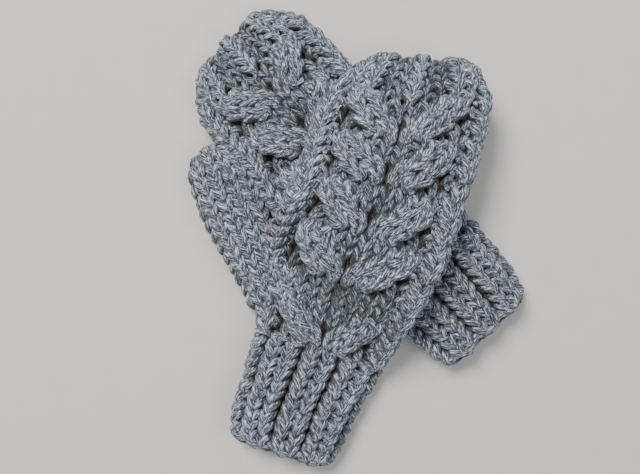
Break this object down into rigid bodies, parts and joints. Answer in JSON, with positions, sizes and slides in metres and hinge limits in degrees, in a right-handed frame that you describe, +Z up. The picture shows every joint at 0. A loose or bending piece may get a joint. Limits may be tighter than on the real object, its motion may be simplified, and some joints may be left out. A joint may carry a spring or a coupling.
{
  "type": "pair of knitted mittens",
  "caption": "Two knitted mittens lying crossed, backs up: ribbed cuffs, nested V cables on the hands and plain thumbs.",
  "frame": {"origin": "on the ground, under the middle of the pair's outline", "axes": "+Z up from the ground, +X to the right and +Y towards the tips, as seen from above"},
  "size_m": [0.2136, 0.2888, 0.0475],
  "materials": {
    "wool": "matt heather wool"
  },
  "bodies": {
    "root": {"front_cuff": "wool", "front_hand": "wool", "front_thumb": "wool", "rear_cuff": "wool", "rear_hand": "wool", "rear_thumb": "wool"}
  },
  "joints": []
}
